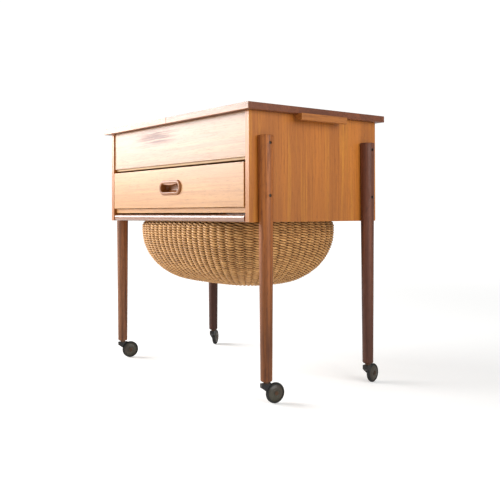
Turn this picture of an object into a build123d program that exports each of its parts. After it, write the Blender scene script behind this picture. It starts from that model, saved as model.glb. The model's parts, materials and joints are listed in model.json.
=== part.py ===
"""Sewing box on casters: a two-part sliding top over sewing trays, one drawer and a wicker basket.

Millimetres, +Z up.  The origin is on the floor under the middle of the box, +X runs to the right
along the front and the front faces -Y.
"""
import os
from math import cos, pi, sin

from build123d import *

# --- Driving dimensions -------------------------------------------------------------------------
HEIGHT = 600.0                 # floor to the upper face of the top
TOP_LENGTH = 620.0             # both halves of the top together, along X
TOP_DEPTH = 389.0
TOP_THICKNESS = 14.0
CABINET_WIDTH = 588.0
CABINET_DEPTH = 362.0
CABINET_BOTTOM = 363.0
PANEL = 12.0                   # thickness of the cabinet's panels
SLIDE_GAP = 0.3                # free height between pieces that slide over each other

CABINET_TOP = HEIGHT - TOP_THICKNESS - SLIDE_GAP
HALF_WIDTH = CABINET_WIDTH / 2
HALF_DEPTH = CABINET_DEPTH / 2
INNER_X = HALF_WIDTH - PANEL   # inner face of a side panel

# Front of the cabinet, from the top down
FRONT_RECESS = 6.0             # fixed fronts stand back behind the side panels' edges
FLOOR_TOP = 494.5              # floor of the upper compartment
FLOOR_THICKNESS = 5.2
DRAWER_TOP = 484.2
DRAWER_BOTTOM = 393.6
RAIL_TOP = 393.0
RAIL_BOTTOM = 382.0
BACK_RAIL_BOTTOM = 378.4       # closes the gap over the basket frame at the back
BASKET_BAR_TOP = 378.0

# Sliding top
SEAM = 0.4                     # gap between the closed halves
GRIP_LENGTH = 130.0
GRIP_HEIGHT = 14.0
GRIP_REACH = 321.0             # outer face of a grip, from the middle of the box
TOP_BATTEN_LENGTH = 100.0
TOP_BATTEN_BOTTOM = 562.0
TOP_RAIL_BOTTOM = 560.0
TOP_RAIL_INNER_Y = 149.0
TONGUE = 7.0                   # reach of a batten's tongue into its rail
TONGUE_BOTTOM = 566.2
TONGUE_HEIGHT = 6.0
TONGUE_PLAY = 0.2

# Trays
TRAY_WIDTH = 168.0             # along X
TRAY_LENGTH = 296.0            # along Y
TRAY_BOTTOM = 524.0
TRAY_HEIGHT = 35.0
TRAY_WALL = 6.0
TRAY_FLOOR = 4.0
TRAY_OUTER_X = 280.0           # outer end of each stored tray
TRAY_DIVIDER = 4.0
TRAY_DIVIDER_HEIGHT = 24.0
GLUE_LINE = 0.05               # joint between two pieces glued edge to face
LEDGE_INNER_Y = 140.0
LEDGE_HEIGHT = 7.8
TRAY_PLAY = 0.2                # free height between a tray and its ledge
PEG_RADIUS = 3.0
PEG_HEIGHT = 28.0
PEG_PITCH = 40.0
PEG_ROUNDING = 1.5

# Drawer
DRAWER_HALF_WIDTH = 278.0
DRAWER_FRONT_Y = -182.0
DRAWER_FRONT_THICKNESS = 18.0
DRAWER_SIDE_X = 276.0          # outer face of a drawer side
DRAWER_SIDE = 12.0
DRAWER_SIDE_BOTTOM = 399.0
DRAWER_SIDE_TOP = 479.0
DRAWER_BACK_END = 140.0
DRAWER_BACK_INSET = 2.0        # the sides run this far past the drawer back
DRAWER_FLOOR = 5.0
DRAWER_FLOOR_BOTTOM = 402.0
DRAWER_LET_IN = 5.5            # depth of the grooves that hold the drawer bottom
DRAWER_BACK_THICKNESS = 10.0
DRAWER_RUNNER_Z = 438.6        # middle of the runner
DRAWER_RUNNER_HEIGHT = 8.8
RUNNER_REACH = 12.0            # a runner stands this far out of the side panel
RUNNER_PLAY = 0.3              # free depth between a runner and the bottom of its groove
GROOVE_PLAY = 0.4              # a groove is this much taller than its runner
PARTITION = 6.0                # thickness of the low partitions in the drawer and on the floor

# Drawer pull
PULL_Z = 440.0
PULL_LENGTH = 92.0
PULL_HEIGHT = 34.0
PULL_BEAD = 8.0
PULL_PROUD = 4.5
PULL_BACK = 3.0                # thickness of the cup behind the recess
PULL_MOUTH_EXTRA = 2.0         # the mouth is this much taller than the bead's inner outline
PULL_CUP_ROUNDING = 7.0
PULL_LIP_DROP = 4.0            # the finger lip bows down this far in its middle

# Basket carriage
BAR_DEPTH = 12.0
BASKET_RAIL_X = 277.0
BASKET_RAIL_WIDTH = 39.0
BASKET_RUNNER_Z = 370.1
BASKET_RUNNER_HEIGHT = 5.8
BASKET_WALL = 11.0             # woven wall: stakes with the canes outside and inside them
BASKET_EXPONENT = 3.7          # superellipse plan, between an oval and a rectangle
BASKET_HALF = (236.5, 174.0)   # widest half-length and half-depth
BASKET_RIM_HALF_Y = 167.5      # half-depth where the basket sits inside its frame
BASKET_COLLAR_BOTTOM = 362.6   # below this the basket swells out under its frame
BASKET_BOTTOM = 214.0
BASKET_SPRING = 334.0          # height at which the side starts to turn under

# Legs and casters
LEG_X = HALF_WIDTH + 9.0
LEG_Y = 145.5
LEG_TOP = 537.0
LEG_BOTTOM = 46.0
LEG_TOP_RADIUS = 16.0
LEG_BOTTOM_RADIUS = 12.0
SCREW_HEIGHTS = (416.0, 521.0)
SCREW_RADIUS = 1.95
SCREW_HEAD_RADIUS = 3.3
SCREW_HEAD_HEIGHT = 2.2
SCREW_SEAT_DEPTH = 5.0         # a screw head sits this far inside the leg's top radius
SCREW_BITE = 8.0               # reach of a screw into the side panel
SCREW_PLAY = 0.05
SLEEVE_RADIUS = 5.5
SLEEVE_LENGTH = 36.0
SLEEVE_FLANGE_RADIUS = 6.5
SLEEVE_FLANGE = 2.2
WHEEL_RADIUS = 21.0
TYRE_WIDTH = 8.0
WHEEL_OFFSET = 20.0            # trail of the wheel behind its stem
HUB_RADIUS = 17.0
STEM_RADIUS = 4.0
AXLE_RADIUS = 2.5
RUNNING_FIT = 0.05
CHEEK = 2.0
CHEEK_INNER = 6.0              # inner face of the fork's one cheek, from the middle of the wheel
FORK_OPEN_SIDE = 5.0           # reach of the fork's block over the open side of the wheel
WHEEL_ROOM = 1.2               # free space between the tyre and the fork's block
FORK_TOP = 41.5
FORK_BACK = -11.5              # ends of the fork's top edge, from the stem
FORK_FRONT = 13.0
FORK_PLATE_FRONT = 7.0         # front end of the block on the open side
FORK_HEEL = 34.0               # lower end of the fork's back edge
FORK_EYE_RADIUS = 7.0
FORK_ROUNDING = 3.0
STEM_SEAT = 38.5               # bottom of the stem, inside the fork
STEM_TOP = 79.0
WASHER_RADIUS = 6.0
WASHER = 2.25
AXLE_HEAD_RADIUS = 4.0
AXLE_HEAD = 1.2
AXLE_CAP_RADIUS = 4.2
TYRE_SHOULDER = 18.8
HUB_PROFILE = (                # half-width of the wheel disc, radius
    (5.6, AXLE_RADIUS + RUNNING_FIT), (5.6, 5.4), (5.0, 6.2), (4.8, 7.2), (5.3, 8.0), (5.1, 11.0),
    (4.4, 13.5), (3.4, 15.6), (3.0, 16.2), (3.0, HUB_RADIUS),
)
CASTERS = {                    # leg position signs and the heading of each caster at rest
    "front_left": (-1, -1, 74.0),
    "front_right": (1, -1, 81.0),
    "back_left": (-1, 1, 128.0),
    "back_right": (1, 1, 103.0),
}

os.makedirs("parts", exist_ok=True)


# --- Small helpers ------------------------------------------------------------------------------
def save(piece, name):
    """Label a finished piece and write it as its own STEP file."""
    piece.part.label = name
    export_step(piece.part, f"parts/{name}.step")


def block(x0, x1, y0, y1, z0, z1, mode=Mode.ADD):
    """A box between two corners, added to the part being built; the corners come in any order."""
    with Locations((min(x0, x1), min(y0, y1), min(z0, z1))):
        Box(abs(x1 - x0), abs(y1 - y0), abs(z1 - z0), align=(Align.MIN, Align.MIN, Align.MIN), mode=mode)


def side_name(side):
    """The word for the left (-1) or right (+1) side."""
    return "left" if side < 0 else "right"


# --- Cabinet ------------------------------------------------------------------------------------
def side_panel(side):
    """A side panel with the pilot holes for its two legs' screws."""
    with BuildPart() as panel:
        block(side * INNER_X, side * HALF_WIDTH, -HALF_DEPTH, HALF_DEPTH, CABINET_BOTTOM, CABINET_TOP)
        for height in SCREW_HEIGHTS:
            with BuildSketch(Plane.YZ.offset(side * HALF_WIDTH)):
                with Locations((-LEG_Y, height), (LEG_Y, height)):
                    Circle(SCREW_RADIUS + SCREW_PLAY)
            extrude(amount=-side * (SCREW_BITE + SCREW_PLAY), mode=Mode.SUBTRACT)
    return panel


def upper_front_panel():
    """The fixed front of the upper compartment, which stands proud of the floor's edge below it."""
    front_recess = 3.0
    inner_face = -HALF_DEPTH + FRONT_RECESS + PANEL
    with BuildPart() as panel:
        block(-INNER_X, INNER_X, -HALF_DEPTH + front_recess, inner_face, FLOOR_TOP, CABINET_TOP)
    return panel


def back_panel():
    """The closed back, down to the lower back rail."""
    back = HALF_DEPTH - FRONT_RECESS
    with BuildPart() as panel:
        block(-INNER_X, INNER_X, back - PANEL, back, RAIL_TOP, CABINET_TOP)
    return panel


def compartment_floor():
    """The floor of the upper compartment, whose edge shows under the upper front panel."""
    back_panel_face = HALF_DEPTH - FRONT_RECESS - PANEL
    edge_setback = 2.0
    with BuildPart() as floor:
        block(-INNER_X, INNER_X, -HALF_DEPTH + FRONT_RECESS + edge_setback, back_panel_face,
              FLOOR_TOP - FLOOR_THICKNESS, FLOOR_TOP)
    return floor


def lower_rail(side):
    """The cross rail under the drawer, at the front (-1) or the back (+1)."""
    rail_depth = 16.0
    setback = 0.5
    outer = HALF_DEPTH - FRONT_RECESS - setback
    bottom = RAIL_BOTTOM if side < 0 else BACK_RAIL_BOTTOM
    with BuildPart() as rail:
        block(-INNER_X, INNER_X, side * (outer - rail_depth), side * outer, bottom, RAIL_TOP)
    return rail


def floor_dividers():
    """Two low partitions on the floor of the upper compartment."""
    divider_x = 94.0
    divider_height = 20.0
    inner_y = HALF_DEPTH - FRONT_RECESS - PANEL
    with BuildPart() as dividers:
        for side in (-1, 1):
            block(side * divider_x - PARTITION / 2, side * divider_x + PARTITION / 2,
                  -inner_y, inner_y, FLOOR_TOP, FLOOR_TOP + divider_height)
    return dividers


def runners(height, middle, half_length):
    """A pair of hardwood strips on the inner faces of the side panels, for a groove to run on."""
    with BuildPart() as pair:
        for side in (-1, 1):
            block(side * INNER_X, side * (INNER_X - RUNNER_REACH), -half_length, half_length,
                  middle - height / 2, middle + height / 2)
    return pair


def top_slide_rails():
    """Two grooved rails inside the front and the back that carry the battens of the top."""
    outer_y = HALF_DEPTH - FRONT_RECESS - PANEL
    with BuildPart() as rails:
        for side in (-1, 1):
            block(-INNER_X, INNER_X, side * TOP_RAIL_INNER_Y, side * outer_y,
                  TOP_RAIL_BOTTOM, CABINET_TOP - SLIDE_GAP)
            block(-INNER_X, INNER_X, side * TOP_RAIL_INNER_Y, side * (TOP_RAIL_INNER_Y + TONGUE),
                  TONGUE_BOTTOM - TONGUE_PLAY, TONGUE_BOTTOM + TONGUE_HEIGHT + TONGUE_PLAY,
                  mode=Mode.SUBTRACT)
    return rails


def tray_ledges():
    """Two strips inside the front and the back that the trays slide along."""
    outer_y = HALF_DEPTH - FRONT_RECESS - PANEL
    ledge_top = TRAY_BOTTOM - TRAY_PLAY
    with BuildPart() as ledges:
        for side in (-1, 1):
            block(-INNER_X, INNER_X, side * LEDGE_INNER_Y, side * outer_y,
                  ledge_top - LEDGE_HEIGHT, ledge_top)
    return ledges


# --- Legs ---------------------------------------------------------------------------------------
def leg(side_x, side_y):
    """A turned, tapering leg, cut flat above the shoulder where it lies on the side panel."""
    top_edge = 2.0
    foot_chamfer = 2.0
    sleeve_room = 1.0
    centre = (side_x * LEG_X, side_y * LEG_Y)
    seat = LEG_X + LEG_TOP_RADIUS - SCREW_SEAT_DEPTH
    holes = (                  # start along X, radius, depth
        (HALF_WIDTH, SCREW_RADIUS + SCREW_PLAY, 2 * LEG_TOP_RADIUS),
        (seat, SCREW_HEAD_RADIUS + 2 * SCREW_PLAY, SCREW_SEAT_DEPTH + 1),
    )
    with BuildPart() as turned:
        for height, radius in ((LEG_BOTTOM, LEG_BOTTOM_RADIUS), (LEG_TOP, LEG_TOP_RADIUS)):
            with BuildSketch(Plane.XY.offset(height)):
                with Locations(centre):
                    Circle(radius)
        loft()
        fillet(turned.edges().sort_by(Axis.Z)[-1], top_edge)
        chamfer(turned.edges().sort_by(Axis.Z)[0], foot_chamfer)
        block(side_x * (LEG_X - 2 * LEG_TOP_RADIUS), side_x * HALF_WIDTH,
              side_y * (LEG_Y - 2 * LEG_TOP_RADIUS), side_y * (LEG_Y + 2 * LEG_TOP_RADIUS),
              CABINET_BOTTOM, LEG_TOP + 1, mode=Mode.SUBTRACT)
        for start, radius, depth in holes:
            with BuildSketch(Plane.YZ.offset(side_x * start)):
                for height in SCREW_HEIGHTS:
                    with Locations((side_y * LEG_Y, height)):
                        Circle(radius)
            extrude(amount=side_x * depth, mode=Mode.SUBTRACT)
        with BuildSketch(Plane.XY.offset(LEG_BOTTOM)):
            with Locations(centre):
                Circle(SLEEVE_RADIUS + RUNNING_FIT)
        extrude(amount=SLEEVE_LENGTH + sleeve_room, mode=Mode.SUBTRACT)
    return turned


def leg_screws():
    """Eight screws, two through each leg into the side panel."""
    seat = LEG_X + LEG_TOP_RADIUS - SCREW_SEAT_DEPTH
    lengths = (                # radius, reach outwards from the seat
        (SCREW_HEAD_RADIUS, SCREW_HEAD_HEIGHT),
        (SCREW_RADIUS, HALF_WIDTH - SCREW_BITE - seat),
    )
    with BuildPart() as screws:
        for side in (-1, 1):
            for height in SCREW_HEIGHTS:
                for radius, reach in lengths:
                    with BuildSketch(Plane.YZ.offset(side * seat)):
                        with Locations((-LEG_Y, height), (LEG_Y, height)):
                            Circle(radius)
                    extrude(amount=side * reach)
    return screws


def caster_sockets():
    """Four flanged steel sleeves, one in the foot of each leg."""
    upwards = (Align.CENTER, Align.CENTER, Align.MIN)
    with BuildPart() as sockets:
        with Locations((0, 0, LEG_BOTTOM - SLEEVE_FLANGE)):
            with GridLocations(2 * LEG_X, 2 * LEG_Y, 2, 2):
                Cylinder(SLEEVE_FLANGE_RADIUS, SLEEVE_FLANGE, align=upwards)
                Cylinder(SLEEVE_RADIUS, SLEEVE_FLANGE + SLEEVE_LENGTH, align=upwards)
                Cylinder(STEM_RADIUS + RUNNING_FIT, SLEEVE_LENGTH, align=upwards, mode=Mode.SUBTRACT)
    return sockets


# --- Sliding top --------------------------------------------------------------------------------
def top_board(side):
    """One half of the top."""
    board_bottom = HEIGHT - TOP_THICKNESS
    with BuildPart() as board:
        block(side * SEAM / 2, side * TOP_LENGTH / 2, -TOP_DEPTH / 2, TOP_DEPTH / 2, board_bottom, HEIGHT)
    return board


def top_grip(side):
    """The bar under the outer edge of one half; fingers reach into its undercut to pull it open."""
    board_bottom = HEIGHT - TOP_THICKNESS
    low = board_bottom - GRIP_HEIGHT
    inner_x = HALF_WIDTH + 0.6
    undercut_height = 11.0
    foot_width = 11.0
    rounding = 2.5
    outline = (
        (inner_x, board_bottom), (GRIP_REACH, board_bottom), (GRIP_REACH, low),
        (GRIP_REACH - foot_width, low), (inner_x, low + undercut_height),
    )
    with BuildPart() as grip:
        with BuildSketch(Plane.XZ.offset(-GRIP_LENGTH / 2)):
            with BuildLine():
                Polyline(*[(side * x, z) for x, z in outline], close=True)
            make_face()
        extrude(amount=GRIP_LENGTH)
        fillet(grip.edges().filter_by(Axis.Y).group_by(Axis.Z)[0], rounding)
    return grip


def top_battens(side):
    """Two tongued battens under one half, that hook it into the slide rails."""
    board_bottom = HEIGHT - TOP_THICKNESS
    seam_inset = 1.5
    inner_end = side * seam_inset
    outer_end = side * (seam_inset + TOP_BATTEN_LENGTH)
    play = 0.5
    batten_inner_y = 136.0
    batten_outer_y = TOP_RAIL_INNER_Y - play
    with BuildPart() as battens:
        for y_side in (-1, 1):
            block(inner_end, outer_end, y_side * batten_inner_y, y_side * batten_outer_y,
                  TOP_BATTEN_BOTTOM, board_bottom)
            block(inner_end, outer_end, y_side * batten_outer_y,
                  y_side * (TOP_RAIL_INNER_Y + TONGUE - play),
                  TONGUE_BOTTOM, TONGUE_BOTTOM + TONGUE_HEIGHT)
    return battens


# --- Trays --------------------------------------------------------------------------------------
def tray_middle(side):
    """X of the middle of a stored tray."""
    return side * (TRAY_OUTER_X - TRAY_WIDTH / 2)


def tray_walls(side):
    """The four walls of a tray, rebated for its bottom."""
    half_x = TRAY_WIDTH / 2
    half_y = TRAY_LENGTH / 2
    inner_x = half_x - TRAY_WALL
    rebate = TRAY_WALL / 2
    middle = tray_middle(side)
    top = TRAY_BOTTOM + TRAY_HEIGHT
    with BuildPart() as walls:
        for sign in (-1, 1):
            block(middle + sign * half_x, middle + sign * inner_x, -half_y, half_y, TRAY_BOTTOM, top)
            block(middle - inner_x + GLUE_LINE, middle + inner_x - GLUE_LINE,
                  sign * half_y, sign * (half_y - TRAY_WALL), TRAY_BOTTOM, top)
        block(middle - half_x + rebate, middle + half_x - rebate, -half_y + rebate, half_y - rebate,
              TRAY_BOTTOM, TRAY_BOTTOM + TRAY_FLOOR, mode=Mode.SUBTRACT)
    return walls


def tray_bottom(side):
    """The thin plate let into the walls of a tray."""
    rebate = TRAY_WALL / 2
    half_x = TRAY_WIDTH / 2 - rebate
    half_y = TRAY_LENGTH / 2 - rebate
    middle = tray_middle(side)
    with BuildPart() as plate:
        block(middle - half_x, middle + half_x, -half_y, half_y, TRAY_BOTTOM, TRAY_BOTTOM + TRAY_FLOOR)
    return plate


def tray_dividers(side, places):
    """Cross partitions of a tray at the given places along Y."""
    inner_x = TRAY_WIDTH / 2 - TRAY_WALL
    middle = tray_middle(side)
    floor = TRAY_BOTTOM + TRAY_FLOOR
    with BuildPart() as dividers:
        for place in places:
            block(middle - inner_x, middle + inner_x, place - TRAY_DIVIDER / 2, place + TRAY_DIVIDER / 2,
                  floor, floor + TRAY_DIVIDER_HEIGHT)
    return dividers


def spool_pegs(side, first_y):
    """A grid of dowels that hold reels of thread in one end of a tray."""
    with BuildPart() as pegs:
        with BuildSketch(Plane.XY.offset(TRAY_BOTTOM + TRAY_FLOOR)):
            with Locations((tray_middle(side), first_y)):
                with GridLocations(PEG_PITCH, PEG_PITCH, 3, 3):
                    Circle(PEG_RADIUS)
        extrude(amount=PEG_HEIGHT)
        fillet(pegs.faces().group_by(Axis.Z)[-1].edges(), PEG_ROUNDING)
    return pegs


# --- Drawer -------------------------------------------------------------------------------------
def drawer_front():
    """The drawer front, with the hole for its pull and the groove for the drawer bottom."""
    back_face = DRAWER_FRONT_Y + DRAWER_FRONT_THICKNESS
    groove_end = DRAWER_SIDE_X - DRAWER_SIDE + DRAWER_LET_IN
    hole_length = PULL_LENGTH - PULL_BEAD
    hole_height = PULL_HEIGHT - PULL_BEAD
    with BuildPart() as front:
        block(-DRAWER_HALF_WIDTH, DRAWER_HALF_WIDTH, DRAWER_FRONT_Y, back_face, DRAWER_BOTTOM, DRAWER_TOP)
        block(-groove_end, groove_end, back_face - DRAWER_LET_IN, back_face,
              DRAWER_FLOOR_BOTTOM, DRAWER_FLOOR_BOTTOM + DRAWER_FLOOR, mode=Mode.SUBTRACT)
        with BuildSketch(Plane.XZ.offset(-back_face)):
            with Locations((0, PULL_Z)):
                SlotOverall(hole_length, hole_height)
        extrude(amount=DRAWER_FRONT_THICKNESS, mode=Mode.SUBTRACT)
    return front


def drawer_pull():
    """A carved cup set in the drawer front: a raised bead round a recess with a finger lip."""
    plug_play = 0.05
    plug_length = PULL_LENGTH - PULL_BEAD - 2 * plug_play
    plug_height = PULL_HEIGHT - PULL_BEAD - 2 * plug_play
    mouth_length = PULL_LENGTH - 2 * PULL_BEAD
    mouth_height = PULL_HEIGHT - 2 * PULL_BEAD + PULL_MOUTH_EXTRA
    recess_depth = DRAWER_FRONT_THICKNESS - PULL_BACK
    bead_flat = 0.3            # what is left of the bead's front face between its two roundings
    mouth_rounding = 2.0
    lip_thickness = 4.0
    lip_setback = 1.0
    lip_half = mouth_length / 2 - 6.0
    lip_edge = PULL_Z + mouth_height / 2
    lip_top = lip_edge + 2.0
    with BuildPart() as pull:
        with BuildSketch(Plane.XZ.offset(-DRAWER_FRONT_Y)):
            with Locations((0, PULL_Z)):
                SlotOverall(plug_length, plug_height)
        extrude(amount=-DRAWER_FRONT_THICKNESS)
        with BuildSketch(Plane.XZ.offset(-DRAWER_FRONT_Y)):
            with Locations((0, PULL_Z)):
                SlotOverall(PULL_LENGTH, PULL_HEIGHT)
        extrude(amount=PULL_PROUD)
        fillet(pull.faces().sort_by(Axis.Y)[0].edges(), PULL_PROUD - bead_flat)
        with BuildSketch(Plane.XZ.offset(-DRAWER_FRONT_Y + PULL_PROUD)):
            with Locations((0, PULL_Z)):
                SlotOverall(mouth_length, mouth_height)
        extrude(amount=-(PULL_PROUD + recess_depth), mode=Mode.SUBTRACT)
        recess_floor = pull.faces().filter_by(Axis.Y).sort_by(Axis.Y)[-2]
        fillet(recess_floor.edges(), PULL_CUP_ROUNDING)
        mouth_rim = pull.edges().filter_by(GeomType.LINE).group_by(Axis.Y)[0]
        fillet(mouth_rim, mouth_rounding)
        with BuildSketch(Plane.XZ.offset(-DRAWER_FRONT_Y - lip_setback)):
            with BuildLine():
                ThreePointArc((-lip_half, lip_edge), (0, lip_edge - PULL_LIP_DROP), (lip_half, lip_edge))
                Polyline((lip_half, lip_edge), (lip_half, lip_top), (-lip_half, lip_top),
                         (-lip_half, lip_edge))
            make_face()
        extrude(amount=lip_thickness)
    return pull


def drawer_side(side):
    """A drawer side, grooved outside for its runner and inside for the drawer bottom."""
    front_end = DRAWER_FRONT_Y + DRAWER_FRONT_THICKNESS
    inner_face = DRAWER_SIDE_X - DRAWER_SIDE
    groove_half = (DRAWER_RUNNER_HEIGHT + GROOVE_PLAY) / 2
    groove_face = INNER_X - RUNNER_REACH - RUNNER_PLAY
    with BuildPart() as board:
        block(side * DRAWER_SIDE_X, side * inner_face, front_end, DRAWER_BACK_END,
              DRAWER_SIDE_BOTTOM, DRAWER_SIDE_TOP)
        block(side * DRAWER_SIDE_X, side * groove_face, front_end, DRAWER_BACK_END,
              DRAWER_RUNNER_Z - groove_half, DRAWER_RUNNER_Z + groove_half, mode=Mode.SUBTRACT)
        block(side * inner_face, side * (inner_face + DRAWER_LET_IN), front_end, DRAWER_BACK_END,
              DRAWER_FLOOR_BOTTOM, DRAWER_FLOOR_BOTTOM + DRAWER_FLOOR, mode=Mode.SUBTRACT)
    return board


def drawer_back():
    """The drawer back, standing on the drawer bottom between the sides."""
    inner_face = DRAWER_SIDE_X - DRAWER_SIDE
    outer = DRAWER_BACK_END - DRAWER_BACK_INSET
    with BuildPart() as board:
        block(-inner_face, inner_face, outer - DRAWER_BACK_THICKNESS, outer,
              DRAWER_FLOOR_BOTTOM + DRAWER_FLOOR, DRAWER_SIDE_TOP)
    return board


def drawer_bottom():
    """The thin drawer bottom, let into the sides and the front."""
    reach = DRAWER_SIDE_X - DRAWER_SIDE + DRAWER_LET_IN
    front_end = DRAWER_FRONT_Y + DRAWER_FRONT_THICKNESS - DRAWER_LET_IN
    with BuildPart() as plate:
        block(-reach, reach, front_end, DRAWER_BACK_END - DRAWER_BACK_INSET,
              DRAWER_FLOOR_BOTTOM, DRAWER_FLOOR_BOTTOM + DRAWER_FLOOR)
    return plate


def drawer_dividers():
    """Two low partitions from the front to the back of the drawer."""
    divider_x = 90.0
    divider_height = 45.0
    floor = DRAWER_FLOOR_BOTTOM + DRAWER_FLOOR
    front_end = DRAWER_FRONT_Y + DRAWER_FRONT_THICKNESS
    back_end = DRAWER_BACK_END - DRAWER_BACK_INSET - DRAWER_BACK_THICKNESS
    with BuildPart() as dividers:
        for side in (-1, 1):
            block(side * divider_x - PARTITION / 2, side * divider_x + PARTITION / 2,
                  front_end, back_end, floor, floor + divider_height)
    return dividers


# --- Basket carriage ----------------------------------------------------------------------------
def basket_front_bar():
    """The rounded bar that pulls the basket out."""
    rounding = 6.0
    with BuildPart() as bar:
        block(-BASKET_RAIL_X, BASKET_RAIL_X, -HALF_DEPTH, -HALF_DEPTH + BAR_DEPTH,
              CABINET_BOTTOM, BASKET_BAR_TOP)
        fillet(bar.faces().sort_by(Axis.Y)[0].edges().filter_by(Axis.X), rounding)
    return bar


def basket_back_bar():
    """The bar that joins the two side rails behind the basket."""
    inner_x = BASKET_RAIL_X - BASKET_RAIL_WIDTH
    with BuildPart() as bar:
        block(-inner_x, inner_x, HALF_DEPTH - BAR_DEPTH, HALF_DEPTH, CABINET_BOTTOM, BASKET_BAR_TOP)
    return bar


def basket_rail(side):
    """A side rail of the basket frame, grooved for its runner."""
    groove_half = (BASKET_RUNNER_HEIGHT + GROOVE_PLAY) / 2
    groove_face = INNER_X - RUNNER_REACH - RUNNER_PLAY
    with BuildPart() as rail:
        block(side * BASKET_RAIL_X, side * (BASKET_RAIL_X - BASKET_RAIL_WIDTH),
              -HALF_DEPTH + BAR_DEPTH, HALF_DEPTH, CABINET_BOTTOM, BASKET_BAR_TOP)
        block(side * BASKET_RAIL_X, side * groove_face, -HALF_DEPTH + BAR_DEPTH, HALF_DEPTH,
              BASKET_RUNNER_Z - groove_half, BASKET_RUNNER_Z + groove_half, mode=Mode.SUBTRACT)
    return rail


def oval(half_x, half_y, height):
    """A face with a superellipse outline in a level plane."""
    count = 32
    points = []
    for step in range(count):
        angle = 2 * pi * step / count
        reach = (abs(cos(angle)) ** BASKET_EXPONENT + abs(sin(angle)) ** BASKET_EXPONENT)
        reach = reach ** (-1 / BASKET_EXPONENT)
        points.append((half_x * reach * cos(angle), half_y * reach * sin(angle)))
    with BuildSketch(Plane.XY.offset(height)) as outline:
        with BuildLine():
            Spline(*points, periodic=True)
        make_face()
    return outline.sketch.face()


def bulge_sections(wall):
    """Level sections of the basket's bulging form, drawn in by the wall thickness all round."""
    half_x, half_y = BASKET_HALF
    turn = BASKET_SPRING - BASKET_BOTTOM
    steps = 6
    last_angle = pi / 2
    sections = [
        oval(half_x - wall, BASKET_RIM_HALF_Y - wall, BASKET_COLLAR_BOTTOM),
        oval(half_x - wall, (BASKET_RIM_HALF_Y + 3 * half_y) / 4 - wall, BASKET_COLLAR_BOTTOM - 8.0),
    ]
    for step in range(steps + 1):
        angle = last_angle * step / steps
        drawn_in = turn * (1 - cos(angle)) + wall
        height = BASKET_SPRING - (turn - wall) * sin(angle)
        sections.append(oval(half_x - drawn_in, half_y - drawn_in, height))
    return sections


def wicker_basket():
    """The open basket, a shell of even thickness: an upright collar over a bulging bowl."""
    collar = BASKET_BAR_TOP - BASKET_COLLAR_BOTTOM
    half_x = BASKET_HALF[0]
    with BuildPart() as basket:
        loft(bulge_sections(0.0))
        extrude(oval(half_x, BASKET_RIM_HALF_Y, BASKET_COLLAR_BOTTOM), amount=collar)
        loft(bulge_sections(BASKET_WALL), mode=Mode.SUBTRACT)
        extrude(oval(half_x - BASKET_WALL, BASKET_RIM_HALF_Y - BASKET_WALL, BASKET_COLLAR_BOTTOM),
                amount=collar, mode=Mode.SUBTRACT)
    return basket


# --- Casters ------------------------------------------------------------------------------------
def caster_plane(name):
    """The upright plane of a caster: its x axis runs from the stem to the wheel, its y axis up."""
    side_x, side_y, heading = CASTERS[name]
    along = Vector(1, 0, 0).rotate(Axis.Z, heading)
    return Plane(origin=(side_x * LEG_X, side_y * LEG_Y, 0), x_dir=along,
                 z_dir=along.rotate(Axis.Z, -90))


def caster_fork(name):
    """A cast fork with one cheek: a block over and behind the wheel and an arm to the axle."""
    plane = caster_plane(name)
    outer = CHEEK_INNER + CHEEK
    wheel_centre = (WHEEL_OFFSET, WHEEL_RADIUS)
    with BuildPart() as fork:
        with BuildSketch(plane.offset(-outer)):
            with BuildLine():
                Polyline((FORK_BACK, FORK_HEEL), (FORK_BACK, FORK_TOP), (FORK_FRONT, FORK_TOP))
                CenterArc(wheel_centre, FORK_EYE_RADIUS, 0, 360)
            make_hull()
        extrude(amount=outer + FORK_OPEN_SIDE)
        with BuildSketch(plane.offset(-CHEEK_INNER)):
            with Locations(wheel_centre):
                Circle(WHEEL_RADIUS + WHEEL_ROOM)
            with Locations((FORK_PLATE_FRONT, WHEEL_RADIUS)):
                Rectangle(WHEEL_RADIUS, 2 * WHEEL_RADIUS, align=(Align.MIN, Align.CENTER))
        extrude(amount=CHEEK_INNER + FORK_OPEN_SIDE, mode=Mode.SUBTRACT)
        with BuildSketch(plane.offset(-outer)):
            with Locations(wheel_centre):
                Circle(AXLE_RADIUS + RUNNING_FIT)
        extrude(amount=CHEEK, mode=Mode.SUBTRACT)
        with BuildSketch(Plane.XY.offset(STEM_SEAT)):
            with Locations((plane.origin.X, plane.origin.Y)):
                Circle(STEM_RADIUS + RUNNING_FIT)
        extrude(amount=FORK_TOP - STEM_SEAT, mode=Mode.SUBTRACT)
        back = fork.edges().filter_by(Axis.Z).sort_by(Axis(plane.origin, plane.x_dir))[:2]
        fillet(back, FORK_ROUNDING)
    return fork


def caster_pins(name):
    """The steel stem with its washer, set into the fork, and the axle with its head and its cap."""
    plane = caster_plane(name)
    outer = CHEEK_INNER + CHEEK
    stem_x, stem_y = plane.origin.X, plane.origin.Y
    hub_face = HUB_PROFILE[0][0]
    levels = (                 # radius, from, to
        (STEM_RADIUS, STEM_SEAT, STEM_TOP),
        (WASHER_RADIUS, FORK_TOP, FORK_TOP + WASHER),
    )
    spans = (                  # radius, from, to along the axle
        (AXLE_RADIUS, -outer, hub_face + RUNNING_FIT),
        (AXLE_HEAD_RADIUS, -outer - AXLE_HEAD, -outer),
        (AXLE_CAP_RADIUS, hub_face + RUNNING_FIT, hub_face + RUNNING_FIT + AXLE_HEAD),
    )
    with BuildPart() as pins:
        for radius, low, high in levels:
            with BuildSketch(Plane.XY.offset(low)):
                with Locations((stem_x, stem_y)):
                    Circle(radius)
            extrude(amount=high - low)
        for radius, start, end in spans:
            with BuildSketch(plane.offset(start)):
                with Locations((WHEEL_OFFSET, WHEEL_RADIUS)):
                    Circle(radius)
            extrude(amount=end - start)
    return pins


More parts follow.
